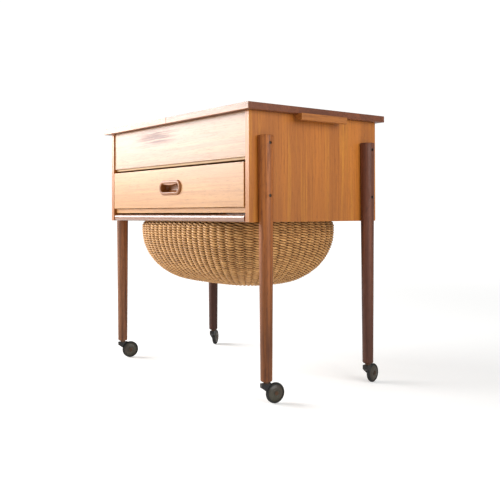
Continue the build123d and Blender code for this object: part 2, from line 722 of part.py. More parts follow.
def wheel_section_plane(name):
    """The plane through the axle's line: its x axis is the axle, its y axis is up."""
    plane = caster_plane(name)
    centre = plane.from_local_coords((WHEEL_OFFSET, WHEEL_RADIUS, 0))
    return Plane(origin=centre, x_dir=plane.z_dir, z_dir=-plane.x_dir)


def caster_tyre(name):
    """A tyre with a round tread."""
    plane = wheel_section_plane(name)
    half = TYRE_WIDTH / 2
    with BuildPart() as tyre:
        with BuildSketch(plane):
            with BuildLine():
                ThreePointArc((-half, TYRE_SHOULDER), (0, WHEEL_RADIUS), (half, TYRE_SHOULDER))
                Polyline((half, TYRE_SHOULDER), (half, HUB_RADIUS), (-half, HUB_RADIUS),
                         (-half, TYRE_SHOULDER))
            make_face()
        revolve(axis=Axis(plane.origin, plane.x_dir))
    return tyre


def caster_hub(name):
    """A domed wheel disc with a raised boss that runs on the axle."""
    plane = wheel_section_plane(name)
    outline = [(-half, radius) for half, radius in HUB_PROFILE]
    outline += reversed(HUB_PROFILE)
    with BuildPart() as hub:
        with BuildSketch(plane):
            with BuildLine():
                Polyline(*outline, close=True)
            make_face()
        revolve(axis=Axis(plane.origin, plane.x_dir))
    return hub


# --- The whole box ------------------------------------------------------------------------------
def build_cabinet():
    """Every fixed piece."""
    for side in (-1, 1):
        save(side_panel(side), f"side_panel_{side_name(side)}")
    save(upper_front_panel(), "upper_front_panel")
    save(back_panel(), "back_panel")
    save(compartment_floor(), "compartment_floor")
    save(lower_rail(-1), "lower_front_rail")
    save(lower_rail(1), "lower_back_rail")
    save(floor_dividers(), "floor_dividers")
    save(runners(DRAWER_RUNNER_HEIGHT, DRAWER_RUNNER_Z, 160.0), "drawer_runners")
    save(runners(BASKET_RUNNER_HEIGHT, BASKET_RUNNER_Z, 164.0), "basket_runners")
    save(top_slide_rails(), "top_slide_rails")
    save(tray_ledges(), "tray_ledges")
    for name, (side_x, side_y, _) in CASTERS.items():
        save(leg(side_x, side_y), f"leg_{name}")
    save(leg_screws(), "leg_screws")
    save(caster_sockets(), "caster_sockets")


def build_top_and_trays():
    """The two halves of the top and the two trays under them."""
    for side in (-1, 1):
        word = side_name(side)
        save(top_board(side), f"top_board_{word}")
        save(top_grip(side), f"top_grip_{word}")
        save(top_battens(side), f"top_battens_{word}")
        save(tray_walls(side), f"tray_walls_{word}")
        save(tray_bottom(side), f"tray_bottom_{word}")
    save(tray_dividers(-1, (-50.0, 50.0)), "tray_dividers_left")
    save(tray_dividers(1, (8.0,)), "tray_divider_right")
    save(spool_pegs(1, -68.0), "spool_pegs")


def build_drawer():
    """The drawer."""
    save(drawer_front(), "drawer_front")
    save(drawer_pull(), "drawer_pull")
    for side in (-1, 1):
        save(drawer_side(side), f"drawer_side_{side_name(side)}")
    save(drawer_back(), "drawer_back")
    save(drawer_bottom(), "drawer_bottom")
    save(drawer_dividers(), "drawer_dividers")


def build_basket():
    """The basket and the frame that it hangs in."""
    save(basket_front_bar(), "basket_front_bar")
    save(basket_back_bar(), "basket_back_bar")
    for side in (-1, 1):
        save(basket_rail(side), f"basket_rail_{side_name(side)}")
    save(wicker_basket(), "wicker_basket")


def build_casters():
    """Four swivelling casters."""
    for name in CASTERS:
        save(caster_fork(name), f"caster_fork_{name}")
        save(caster_pins(name), f"caster_pins_{name}")
        save(caster_tyre(name), f"caster_tyre_{name}")
        save(caster_hub(name), f"caster_hub_{name}")


build_cabinet()
build_top_and_trays()
build_drawer()
build_basket()
build_casters()
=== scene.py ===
"""The looks of the sewing box: camera, light, wood, cane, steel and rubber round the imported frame."""
import json
import math

import bpy
import numpy as np
from mathutils import Matrix, Vector


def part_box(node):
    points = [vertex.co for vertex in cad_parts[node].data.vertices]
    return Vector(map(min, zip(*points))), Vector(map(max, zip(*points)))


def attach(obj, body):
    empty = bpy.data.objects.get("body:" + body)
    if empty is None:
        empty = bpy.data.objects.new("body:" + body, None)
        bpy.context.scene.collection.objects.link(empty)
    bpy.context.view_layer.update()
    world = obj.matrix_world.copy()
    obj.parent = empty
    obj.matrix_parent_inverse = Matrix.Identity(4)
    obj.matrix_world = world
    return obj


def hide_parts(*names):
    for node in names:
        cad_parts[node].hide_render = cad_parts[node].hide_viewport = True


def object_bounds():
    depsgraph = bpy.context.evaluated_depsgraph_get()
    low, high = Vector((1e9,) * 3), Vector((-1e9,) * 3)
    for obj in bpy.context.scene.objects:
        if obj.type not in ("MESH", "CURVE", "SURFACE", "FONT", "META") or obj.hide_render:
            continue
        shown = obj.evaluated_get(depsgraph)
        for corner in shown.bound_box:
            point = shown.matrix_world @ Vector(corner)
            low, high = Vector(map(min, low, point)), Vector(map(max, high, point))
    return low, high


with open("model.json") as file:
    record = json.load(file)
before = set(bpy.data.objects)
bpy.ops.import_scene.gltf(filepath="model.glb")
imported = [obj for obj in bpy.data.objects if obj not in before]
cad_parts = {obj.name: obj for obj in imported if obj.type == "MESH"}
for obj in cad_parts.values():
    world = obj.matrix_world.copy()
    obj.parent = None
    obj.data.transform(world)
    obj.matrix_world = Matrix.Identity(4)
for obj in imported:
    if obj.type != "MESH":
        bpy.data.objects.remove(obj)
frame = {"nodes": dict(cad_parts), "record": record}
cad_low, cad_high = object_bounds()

MM = 0.001
NODES = frame["nodes"]

# --- Camera -------------------------------------------------------------------------------------
CAMERA_PLACE = Vector((1.4454, -1.0638, 0.3822))
CAMERA_TURN = math.radians(52.445)      # from looking along +Y towards looking along -X
CAMERA_TILT = math.radians(0.242)
CAMERA_ROLL = math.radians(-0.169)
CAMERA_SENSOR = 36.0                    # millimetres, as the lens
CAMERA_LENS = 52.89
CAMERA_SHIFT = -0.0809


def add_camera():
    """The camera at the photo's angle, almost level, a little over half the height of the box."""
    data = bpy.data.cameras.new("camera")
    data.sensor_width = CAMERA_SENSOR
    data.lens = CAMERA_LENS
    data.shift_y = CAMERA_SHIFT
    data.clip_start = 0.05
    data.clip_end = 100.0
    camera = bpy.data.objects.new("camera", data)
    bpy.context.scene.collection.objects.link(camera)
    turn = Matrix.Rotation(CAMERA_TURN, 4, "Z")
    tilt = Matrix.Rotation(math.radians(90.0) + CAMERA_TILT, 4, "X")
    roll = Matrix.Rotation(CAMERA_ROLL, 4, "Z")
    camera.matrix_world = Matrix.Translation(CAMERA_PLACE) @ turn @ tilt @ roll
    bpy.context.scene.camera = camera


# --- Light --------------------------------------------------------------------------------------
WHITE = (1.0, 1.0, 1.0)
AMBIENT = 0.42
BACKDROP = 1.05                # brightness of the plain wall behind the box, as the camera sees it
KEY_WATTS = 118.0
FILL_WATTS = 31.0


def area_light(name, place, aim, size, watts):
    data = bpy.data.lights.new(name, "AREA")
    data.shape = "RECTANGLE"
    data.size, data.size_y = size
    data.energy = watts
    data.color = WHITE
    light = bpy.data.objects.new(name, data)
    light.location = place
    light.rotation_euler = (Vector(aim) - Vector(place)).to_track_quat("-Z", "Y").to_euler()
    bpy.context.scene.collection.objects.link(light)


def add_light():
    """Even studio light, with a large soft key at the front left and a weaker fill at the right."""
    scene = bpy.context.scene
    scene.view_settings.view_transform = "Standard"
    world = bpy.data.worlds.new("world")
    scene.world = world
    world.use_nodes = True
    tree = world.node_tree
    tree.nodes.clear()
    out = tree.nodes.new("ShaderNodeOutputWorld")
    seen = tree.nodes.new("ShaderNodeBackground")
    felt = tree.nodes.new("ShaderNodeBackground")
    for background, strength in ((seen, BACKDROP), (felt, AMBIENT)):
        background.inputs["Strength"].default_value = strength
        background.inputs["Color"].default_value = (*WHITE, 1.0)
    path = tree.nodes.new("ShaderNodeLightPath")
    mix = tree.nodes.new("ShaderNodeMixShader")
    tree.links.new(path.outputs["Is Camera Ray"], mix.inputs[0])
    tree.links.new(felt.outputs[0], mix.inputs[1])
    tree.links.new(seen.outputs[0], mix.inputs[2])
    tree.links.new(mix.outputs[0], out.inputs[0])
    area_light("key", (-1.99, -1.67, 1.4), (0.0, 0.0, 0.45), (2.1, 1.6), KEY_WATTS)
    area_light("fill", (2.4, 0.0, 1.1), (0.0, 0.0, 0.35), (1.8, 1.4), FILL_WATTS)


# --- Node helpers -------------------------------------------------------------------------------
class Shader:
    """A material under construction; a helper that makes a node returns the socket with its result."""

    def __init__(self, name):
        self.material = bpy.data.materials.new(name)
        self.material.use_nodes = True
        self.tree = self.material.node_tree
        self.tree.nodes.clear()
        self.output = self.tree.nodes.new("ShaderNodeOutputMaterial")
        self.surface = self.tree.nodes.new("ShaderNodeBsdfPrincipled")
        self.link(self.surface.outputs[0], self.output.inputs[0])
        self.coords = self.tree.nodes.new("ShaderNodeTexCoord").outputs["Object"]

    def link(self, source, target):
        self.tree.links.new(source, target)

    def put(self, socket, value):
        """Links a socket, or sets a plain value."""
        if isinstance(value, bpy.types.NodeSocket):
            self.link(value, socket)
        elif hasattr(value, "__len__") and len(value) == 3 and socket.type == "RGBA":
            socket.default_value = (*value, 1.0)
        else:
            socket.default_value = value

    def set(self, **values):
        """Sets the shader's own sockets, by name with _ for a space."""
        for name, value in values.items():
            self.put(self.surface.inputs[name.replace("_", " ")], value)

    def stretched(self, scale, offset=(0.0, 0.0, 0.0)):
        """Object coordinates times a scale for each axis, in repeats to the metre."""
        node = self.tree.nodes.new("ShaderNodeMapping")
        node.vector_type = "POINT"
        self.put(node.inputs["Vector"], self.coords)
        node.inputs["Scale"].default_value = scale
        node.inputs["Location"].default_value = offset
        return node.outputs[0]

    def noise(self, vector, detail=2.0, roughness=0.5, distortion=0.0):
        node = self.tree.nodes.new("ShaderNodeTexNoise")
        self.put(node.inputs["Vector"], vector)
        node.inputs["Scale"].default_value = 1.0
        node.inputs["Detail"].default_value = detail
        node.inputs["Roughness"].default_value = roughness
        node.inputs["Distortion"].default_value = distortion
        return node.outputs["Fac"]

    def ramp(self, value, low, high, to_low=0.0, to_high=1.0):
        node = self.tree.nodes.new("ShaderNodeMapRange")
        node.interpolation_type = "SMOOTHSTEP"
        self.put(node.inputs["Value"], value)
        node.inputs["From Min"].default_value = low
        node.inputs["From Max"].default_value = high
        node.inputs["To Min"].default_value = to_low
        node.inputs["To Max"].default_value = to_high
        return node.outputs["Result"]

    def math(self, operation, first, second=0.0):
        node = self.tree.nodes.new("ShaderNodeMath")
        node.operation = operation
        self.put(node.inputs[0], first)
        self.put(node.inputs[1], second)
        return node.outputs[0]

    def mix(self, factor, first, second, blend="MIX"):
        node = self.tree.nodes.new("ShaderNodeMix")
        node.data_type = "RGBA"
        node.blend_type = blend
        self.put(node.inputs["Factor"], factor)
        self.put(node.inputs[6], first)
        self.put(node.inputs[7], second)
        return node.outputs[2]

    def bump(self, height, distance, strength=1.0):
        node = self.tree.nodes.new("ShaderNodeBump")
        node.inputs["Strength"].default_value = strength
        node.inputs["Distance"].default_value = distance
        self.put(node.inputs["Height"], height)
        return node.outputs[0]

    def axis(self, number):
        """The object coordinate along one axis: 0, 1 or 2."""
        node = self.tree.nodes.new("ShaderNodeSeparateXYZ")
        self.link(self.coords, node.inputs[0])
        return node.outputs[number]

    def length(self, vector):
        node = self.tree.nodes.new("ShaderNodeVectorMath")
        node.operation = "LENGTH"
        self.link(vector, node.inputs[0])
        return node.outputs["Value"]


def linear(red, green, blue):
    """A colour given as screen values from 0 to 255, as linear light."""
    def one(value):
        value /= 255.0
        return value / 12.92 if value <= 0.04045 else ((value + 0.055) / 1.055) ** 2.4
    return (one(red), one(green), one(blue))


# --- Wood ---------------------------------------------------------------------------------------
# How much of a pattern's frequency is left along each axis, for grain along X, Y or Z.
GRAIN = {"X": (0.03, 1.0, 1.0), "Y": (1.0, 0.03, 1.0), "Z": (1.0, 1.0, 0.03)}
BLOTCH = {"X": (0.10, 1.0, 1.0), "Y": (1.0, 0.10, 1.0), "Z": (1.0, 1.0, 0.10)}


def faded(shader, colour, fade):
    """The colour multiplied by the fade's factor, one number or three, below its low end."""
    axis, low, high, factor = fade
    level = shader.ramp(shader.axis(axis), low, high, 1.0, 0.0)
    factors = factor if isinstance(factor, tuple) else (factor,) * 3
    return shader.mix(level, colour, factors, "MULTIPLY")


def with_painted_reflection(shader, colour, rings, reflection_patch):
    """The colour with a patch of painted reflection, dim and purplish, in the lacquer, and how much of
    the shine is left there.
    """
    centre, half, reflection_colour, strength = reflection_patch
    scale = [1.0 / h for h in half]
    near = shader.length(shader.stretched(scale, [-c * k for c, k in zip(centre, scale)]))
    place = shader.ramp(near, 0.1, 1.0, 1.0, 0.0)
    reflection_share = shader.math("MULTIPLY", place, shader.ramp(rings, 0.36, 0.60, 0.35, 1.0))
    colour = shader.mix(shader.math("MULTIPLY", reflection_share, strength), colour, reflection_colour)
    return colour, shader.ramp(reflection_share, 0.0, 1.0, 1.0, 1.0 - 0.9 * strength)


def wood(name, light, dark, grain, seed, streak=None, pore=0.5, gloss=0.4, coat=0.0,
         coat_roughness=0.25, figure=26.0, contrast=0.8, fade=None, reflection_patch=None):
    """Lacquered wood: blotches, streaks, narrow rings and fine open pores, drawn out along the grain.

    fade is (axis, low, high, factor), and the patch of painted reflection is (centre, half sizes,
    colour, strength).
    """
    shader = Shader(name)
    shift = (seed * 1.37, seed * 2.11, seed * 0.83)

    def layer(repeats, shape, **settings):
        """Noise with so many repeats to the metre across the grain."""
        return shader.noise(shader.stretched([repeats * r for r in shape[grain]], shift), **settings)

    streak = streak or [1.12 * c for c in light]
    middle = [0.5 * (a + b) for a, b in zip(light, dark)]
    deep = [0.4 * b for b in dark]
    blotch = layer(14.0, BLOTCH, detail=3.0, distortion=0.4)
    bands = layer(figure, GRAIN, detail=3.0, distortion=0.5)
    lines = layer(95.0, GRAIN, detail=3.0, roughness=0.55)
    rings = layer(260.0, GRAIN, detail=4.0, roughness=0.6)
    flecks = layer(700.0, BLOTCH, detail=2.0, roughness=0.6)
    pores = layer(1500.0, GRAIN, detail=2.0, roughness=0.6)
    colour = shader.mix(shader.ramp(bands, 0.36, 0.64, 0.0, contrast), light, middle)
    colour = shader.mix(shader.ramp(lines, 0.52, 0.66, 0.0, 0.9 * contrast), colour, streak)
    colour = shader.mix(shader.ramp(rings, 0.46, 0.74, 0.0, 0.75 * contrast), colour, dark)
    colour = shader.mix(shader.ramp(blotch, 0.40, 0.66, 0.0, 0.6 * contrast), colour, middle)
    colour = shader.mix(shader.ramp(flecks, 0.55, 0.72, 0.0, 0.4 * contrast), colour, dark)
    open_pores = shader.ramp(pores, 0.60, 0.72)
    colour = shader.mix(shader.math("MULTIPLY", open_pores, pore), colour, deep)
    shine = 1.0
    if fade:
        colour = faded(shader, colour, fade)
    # Paints in the patch of painted reflection, where one is given.
    if reflection_patch:
        colour, shine = with_painted_reflection(shader, colour, rings, reflection_patch)
    shader.set(Base_Color=colour, IOR=1.5, Specular_IOR_Level=0.35 if coat else 0.5)
    shader.set(Roughness=shader.ramp(pores, 0.3, 0.75, gloss, gloss + 0.2))
    if coat:
        grainy = shader.ramp(rings, 0.35, 0.75, coat, (1.0 - 0.3 * contrast) * coat)
        shader.set(Coat_Weight=shader.math("MULTIPLY", grainy, shine), Coat_Roughness=coat_roughness)
    relief = shader.math("SUBTRACT", shader.math("MULTIPLY", rings, 0.4), open_pores)
    shader.set(Normal=shader.bump(relief, 0.00006, 0.6))
    return shader.material


def plain(name, colour, second, roughness, metallic=0.0, coat=0.0):
    """Moulded or coated material with a fine mottle and a slight texture."""
    shader = Shader(name)
    grain = shader.noise(shader.stretched((400.0, 400.0, 400.0)), detail=4.0, roughness=0.6)
    cloud = shader.noise(shader.stretched((40.0, 40.0, 40.0)), detail=2.0)
    shader.set(Base_Color=shader.mix(shader.ramp(cloud, 0.3, 0.7), colour, second))
    shader.set(Roughness=shader.ramp(grain, 0.3, 0.7, roughness, roughness + 0.15))
    shader.set(Metallic=metallic, Coat_Weight=coat)
    shader.set(Normal=shader.bump(grain, 0.00002))
    return shader.material


# Each leg has its own tones, matched to how dark it looks: partly real differences in the wood, partly
# painted shade on the legs that get less light, the back left one most. The share left at the foot is
# painted shade for the dimmer light low down.
LEG_TONES_AND_SHADE = {                  # light, dark, share of the colour left at the foot
    "leg_front_right": ((184, 108, 46), (92, 44, 18), 0.52),
    "leg_front_left": ((164, 104, 62), (62, 32, 20), 0.72),
    "leg_back_right": ((128, 72, 46), (56, 28, 21), 0.55),
    "leg_back_left": ((86, 40, 16), (46, 20, 8), 0.80),
}
RAIL_TONES = ((200, 140, 72), (150, 92, 46), (210, 152, 80), 0.85)
FRONT_TONES = {                # light, dark, streak, weight of the lacquer
    "upper_front_panel": ((180, 130, 82), (140, 92, 56), (196, 148, 92), 0.70),
    "drawer_front": ((196, 138, 72), (154, 96, 50), (206, 152, 80), 0.85),
}
# Place and size of the painted reflection on the upper front panel: a dim, purplish patch painted into
# the lacquer.
REFLECTION_OFF_MIDDLE = (-72 * MM, 20 * MM)  # along X and Z, from the middle of the upper front panel
REFLECTION_HALF = (150 * MM, 50 * MM, 30 * MM)


def leg_finish(node, seed):
    light, dark, foot = LEG_TONES_AND_SHADE[node]
    # The fade paints shade on the leg towards its foot.
    return wood(f"{node}_finish", linear(*light), linear(*dark), "Z", seed, pore=0.9, coat=0.1,
                coat_roughness=0.3, figure=90.0, contrast=1.3, fade=(2, 0.05, 0.45, foot))


def front_finish(node, seed):
    *tones, coat = FRONT_TONES.get(node, RAIL_TONES)
    light, dark, streak = [linear(*tone) for tone in tones]
    reflection_patch = None
    # Painted reflection: a dim patch on the upper front panel, where the coat is thinned as well.
    if node == "upper_front_panel":
        low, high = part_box(node)
        centre = ((low[0] + high[0]) / 2 + REFLECTION_OFF_MIDDLE[0], low[1] + 3 * MM,
                  (low[2] + high[2]) / 2 + REFLECTION_OFF_MIDDLE[1])
        reflection_patch = (centre, REFLECTION_HALF, linear(104, 70, 76), 0.75)
    return wood(f"{node}_finish", light, dark, "X", seed, streak, pore=0.8, coat=coat,
                coat_roughness=0.3, figure=60.0, contrast=0.6, reflection_patch=reflection_patch)


def top_finish(node, seed):
    """Dark teak, with the front edge painted pale: a painted highlight for the glare of the key light on
    that edge.
    """
    front = cad_low[1]
    return wood(f"{node}_finish", linear(124, 66, 34), linear(76, 37, 18), "X", seed, coat=0.6,
                coat_roughness=0.28, fade=(1, front + 0.1 * MM, front + 2 * MM, (2.4, 4.0, 6.5)))


def veneer_finish(node, seed):
    """Upright veneer of the sides and the back, painted a little darker at its foot: painted shade low
    on the panels.
    """
    return wood(f"{node}_finish", linear(196, 117, 36), linear(124, 64, 20), "Z", seed,
                streak=linear(206, 134, 38), coat=0.65, coat_roughness=0.28, contrast=0.7,
                fade=(2, 0.36, 0.50, 0.88))


def solid_finish(node, seed):
    """The carved pull, the grips and the bars of the basket's frame."""
    if node == "basket_front_bar":
        return wood(f"{node}_finish", linear(150, 104, 78), linear(104, 66, 50), "X", seed, gloss=0.3,
                    coat=1.0, coat_roughness=0.15)
    grain = "Y" if "grip" in node else "X"
    return wood(f"{node}_finish", linear(172, 104, 42), linear(108, 58, 24), grain, seed, coat=0.5)


def plywood_finish(node, seed):
    return wood(f"{node}_finish", linear(222, 186, 134), linear(190, 146, 92), "X", seed, pore=0.15)


def beech_finish(node, seed):
    grain = "X" if any(word in node for word in ("rails", "ledges", "battens")) else "Y"
    return wood(f"{node}_finish", linear(218, 176, 128), linear(186, 138, 90), grain, seed, pore=0.15,
                figure=40.0, contrast=0.4)


WOODS = {
    "teak_veneer": veneer_finish,
    "teak_front": front_finish,
    "teak_top": top_finish,
    "teak_leg": leg_finish,
    "teak_solid": solid_finish,
    "plywood": plywood_finish,
    "beech": beech_finish,
}
PLAINS = {                     # two colours, roughness, metallic, weight of the coat
    "screw_steel": ((90, 80, 72), (70, 60, 54), 0.35, 1.0, 0.0),
    "socket_steel": ((96, 76, 62), (74, 58, 48), 0.4, 1.0, 0.0),
    "fork_paint": ((24, 18, 14), (14, 12, 10), 0.42, 0.0, 0.0),
    "tyre": ((24, 24, 20), (18, 18, 15), 0.6, 0.0, 0.0),
    "hub": ((62, 58, 44), (54, 42, 32), 0.4, 0.0, 0.2),
}


def paint_cad():
    """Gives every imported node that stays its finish; the wicker slot is woven instead."""
    slots = {part["node"]: part["material_slot"] for part in frame["record"]["subparts"]}
    for seed, (node, obj) in enumerate(sorted(NODES.items()), start=1):
        slot = slots[node]
        if slot in WOODS:
            finish = WOODS[slot](node, float(seed))
        elif slot in PLAINS:
            colour, second, roughness, metallic, coat = PLAINS[slot]
            finish = plain(f"{node}_finish", linear(*colour), linear(*second), roughness, metallic, coat)
        else:
            continue
        obj.data.materials.clear()
        obj.data.materials.append(finish)


SHARP = {                      # how far the rounding of the crisp edges reaches, in millimetres
    "top_board_left": 0.9, "top_board_right": 0.9, "top_grip_left": 0.9, "top_grip_right": 0.9,
    "side_panel_left": 0.7, "side_panel_right": 0.7, "upper_front_panel": 0.6, "drawer_front": 0.8,
    "lower_front_rail": 0.5, "compartment_floor": 0.5, "drawer_side_left": 0.6, "drawer_side_right": 0.6,
    "tray_walls_left": 0.7, "tray_walls_right": 0.7,
}


def soften_edges():
    """Rounds the long edges a little, so that they catch the light as the edges of much-used wood do."""
    for node, width in SHARP.items():
        obj = NODES[node]
        weld = obj.modifiers.new("weld", "WELD")
        weld.merge_threshold = 0.00001
        bevel = obj.modifiers.new("bevel", "BEVEL")
        bevel.width = width * MM
        bevel.segments = 3
        bevel.limit_method = "ANGLE"
        bevel.angle_limit = math.radians(50.0)
        bevel.harden_normals = False
        bevel.use_clamp_overlap = True


# --- Woven basket -------------------------------------------------------------------------------
OUTLINE_POWER = 3.7            # superellipse plan of the basket
STAKES = 68
FIRST_ROW = 9.5 * MM           # depth of the first row under the rim, along the profile
UPPER_ROWS = 16                # rows in the upper of the two woven pieces
ROW_PITCH = 5.6 * MM
ROD_HIGH = 2.65 * MM           # half-height of a weaver where it passes a stake
ROD_DEEP = 1.8 * MM            # half-depth of a weaver where it passes a stake
STAKE_RADIUS = 2.4 * MM
SWING = 4.3 * MM               # how far a weaver swings out and in as it passes the stakes
TWIST = 1.5 * MM               # how far the two weavers of a row climb over each other
CROSSING_HIGH = 1.7 * MM       # half-height and half-depth of a weaver where the two cross
CROSSING_DEEP = 2.2 * MM
PROUD = 2.3 * MM               # how far the cane stands proud of the plain shell, front and back
BAR_CLEARANCE = 1.5 * MM       # between the collar of the basket and its front bar
SPRING_HEIGHT = 0.340          # below this the side turns under
SWELL_START = 2 * MM           # the collar swells out from here above its bottom
SWELL_END = 12 * MM            # down to here below it
BASE_GAP = 17 * MM             # half the width of the base that straight sticks fill
NUDGE = 0.1 * MM               # keeps the last row of one piece out of the next
RING_SIDES = 6


class BasketForm:
    """The middle surface of the weave: an upright collar over a bulging bowl with a flat base."""

    def __init__(self):
        low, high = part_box("wicker_basket")
        depth = SWING + ROD_DEEP
        self.half = np.array([high[0] - depth, high[1] - depth + PROUD])
        self.top = high[2]
        self.base = low[2] + depth
        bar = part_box("basket_front_bar")
        self.collar_half_y = -bar[1][1] - depth - BAR_CLEARANCE
        self.collar_bottom = bar[0][2]
        self.turn = SPRING_HEIGHT - self.base
        self.side = self.top - SPRING_HEIGHT
        self.edge = self.side + self.turn * math.pi / 2
        steps = np.linspace(0.0, 2 * math.pi, 4001)
        outline = self.outline(steps, self.half)
        lengths = np.linalg.norm(np.diff(outline, axis=0), axis=1)
        self.travel = np.concatenate([[0.0], np.cumsum(lengths)])
        self.steps = steps
        self.perimeter = self.travel[-1]

    @staticmethod
    def outline(angle, half):
        """Points of the superellipse at the given angles, counter-clockwise from +X."""
        c, s = np.cos(angle), np.sin(angle)
        reach = (np.abs(c) ** OUTLINE_POWER + np.abs(s) ** OUTLINE_POWER) ** (-1 / OUTLINE_POWER)
        return np.stack([half[0] * reach * c, half[1] * reach * s], axis=-1)

    def angle_at(self, share):
        """The outline angle at a share, from 0 to 1, of the way round."""
        return np.interp(np.mod(share, 1.0) * self.perimeter, self.travel, self.steps)

    def section(self, depth):
        """Half sizes, height and slope at a depth along the profile from the rim."""
        if depth < self.side:
            height = self.top - depth
            blend = (height - self.collar_bottom + SWELL_END) / (SWELL_START + SWELL_END)
            blend = min(max(blend, 0.0), 1.0)
            blend = blend * blend * (3 - 2 * blend)
            half_y = self.half[1] + (self.collar_half_y - self.half[1]) * blend
            return np.array([self.half[0], half_y]), height, 0.0
        if depth < self.edge:
            slope = (depth - self.side) / self.turn
            drawn_in = self.turn * (1 - math.cos(slope))
            return self.half - drawn_in, SPRING_HEIGHT - self.turn * math.sin(slope), slope
        drawn_in = self.turn + depth - self.edge
        return self.half - drawn_in, self.base, math.pi / 2

    def surface(self, share, depth):
        """Points and outward normals of the middle surface."""
        half, height, slope = self.section(depth)
        angle = self.angle_at(share)
        flat = self.outline(angle, half)
        gradient = np.sign(flat) * np.abs(flat / half) ** (OUTLINE_POWER - 1) / half
        gradient /= np.linalg.norm(gradient, axis=1, keepdims=True)
        points = np.column_stack([flat, np.full(len(flat), height)])
        drop = np.full(len(flat), -math.sin(slope))
        normals = np.column_stack([gradient * math.cos(slope), drop])
        return points, normals


class TubeMesh:
    """Collects round rods along paths into one mesh, with a tint for each rod, on which painted shade is
    added.
    """

    def __init__(self):
        self.points, self.faces, self.tints, self.count = [], [], [], 0

    def rod(self, path, radius, closed, tint, outward=None, flatten=1.0, sides=RING_SIDES,
            inner_shade=0.0):
        """A rod round a path.

        flatten squeezes it along outward, and the last argument adds painted shade to the tint on all
        but its outer side.
        """
        path = np.asarray(path)
        along = np.roll(path, -1, axis=0) - np.roll(path, 1, axis=0)
        if not closed:
            along[0] = path[1] - path[0]
            along[-1] = path[-1] - path[-2]
        along /= np.linalg.norm(along, axis=1, keepdims=True)
        if outward is None:
            outward = np.tile([0.12, 0.07, 1.0], (len(path), 1))
        across = np.cross(along, outward)
        across /= np.linalg.norm(across, axis=1, keepdims=True)
        up = np.cross(across, along)
        turns = np.arange(sides) * 2 * math.pi / sides
        wide = np.broadcast_to(np.asarray(radius, dtype=float), len(path))
        deep = wide * flatten
        ring = (across[:, None, :] * (wide[:, None] * np.cos(turns))[:, :, None]
                + up[:, None, :] * (deep[:, None] * np.sin(turns))[:, :, None])
        verts = (path[:, None, :] + ring).reshape(-1, 3)
        count = len(path)
        rows = np.arange(count if closed else count - 1)
        here = rows[:, None] * sides + np.arange(sides)[None, :]
        ahead = ((rows + 1) % count)[:, None] * sides + np.arange(sides)[None, :]
        corners = [here, np.roll(here, -1, axis=1), np.roll(ahead, -1, axis=1), ahead]
        quads = np.stack(corners, axis=-1)
        self.faces.extend((quads.reshape(-1, 4) + self.count).tolist())
        if not closed:
            self.faces.append((np.arange(sides)[::-1] + self.count).tolist())
            self.faces.append((np.arange(sides) + self.count + (count - 1) * sides).tolist())
        self.points.append(verts)
        # Painted shade on the sides of the rod that face inward, added to its tint.
        painted_shade = inner_shade * (1.0 - np.clip(1.2 * np.sin(turns), 0, 1))
        self.tints.append((np.broadcast_to(tint, count)[:, None] + painted_shade[None, :]).ravel())
        self.count += len(verts)

    def build(self, name, material, body):
        mesh = bpy.data.meshes.new(name)
        mesh.from_pydata(np.concatenate(self.points).tolist(), [], self.faces)
        tint = mesh.attributes.new("tint", "FLOAT", "POINT")
        tint.data.foreach_set("value", np.concatenate(self.tints).astype(np.float32))
        mesh.shade_smooth()
        mesh.materials.append(material)
        mesh.validate()
        piece = bpy.data.objects.new(name, mesh)
        bpy.context.scene.collection.objects.link(piece)
        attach(piece, body)
        return piece


def wander(count, rng, size, waves=4):
    """A closed, gently wandering line of offsets round a row."""
    around = np.arange(count) * 2 * math.pi / count
    line = np.zeros(count)
    for _ in range(waves):
        height = rng.uniform(-1, 1)
        line += height * np.sin(rng.integers(2, 14) * around + rng.uniform(0, 2 * math.pi))
    return line * size / waves


def weave_rows(form, mesh, rng, first, last, stakes, samples=5):
    """Closed rows of two weavers, which cross between the stakes, so one is always outside.

    samples is the number of points from one stake to the next.
    """
    for depth in np.arange(first, last, ROW_PITCH):
        if min(form.section(depth)[0]) < 3 * ROD_HIGH:
            break
        count = stakes * samples
        points, normals = form.surface(np.arange(count) / count, depth)
        down = np.cross(normals, np.roll(points, -1, axis=0) - np.roll(points, 1, axis=0))
        down /= np.linalg.norm(down, axis=1, keepdims=True)
        sag = wander(count, rng, 0.35 * MM)
        lean = wander(count, rng, 0.4 * MM)
        for strand in (0, 1):
            phase = math.pi * (np.arange(count) / samples + strand)
            beside = np.abs(np.cos(phase))
            out = SWING * np.cos(phase) * (1 + 0.05 * rng.uniform(-1, 1)) + lean
            slide = sag - TWIST * np.sin(phase)
            path = points + normals * out[:, None] + down * slide[:, None]
            high = CROSSING_HIGH + (ROD_HIGH - CROSSING_HIGH) * beside
            high *= 1 + wander(count, rng, 0.07, 8)
            deep = CROSSING_DEEP + (ROD_DEEP - CROSSING_DEEP) * beside
            tint = np.clip(rng.uniform(0.2, 0.8) + wander(count, rng, 0.9, 10), 0, 1)
            # Painted shade where a weaver swings inward behind a stake and where the two weavers cross.
            painted_shade = 1.0 - np.clip(2.4 * np.cos(phase), 0, 1)
            mesh.rod(path, high, True, tint + painted_shade, normals, flatten=deep / high, inner_shade=0.75)


def stake_rods(form, mesh, rng, last):
    """The upright stakes; they turn under with the side, and every second one reaches the base."""
    for stake in range(STAKES):
        share = np.array([stake / STAKES])
        end = last if stake % 2 else form.edge + 1.5 * ROW_PITCH
        depths = np.arange(2.5 * MM, end, 6.0 * MM)
        path = np.array([form.surface(share, depth)[0][0] for depth in depths])
        outward = np.array([form.surface(share, depth)[1][0] for depth in depths])
        mesh.rod(path, STAKE_RADIUS, False, rng.uniform(0, 1), outward, sides=8)


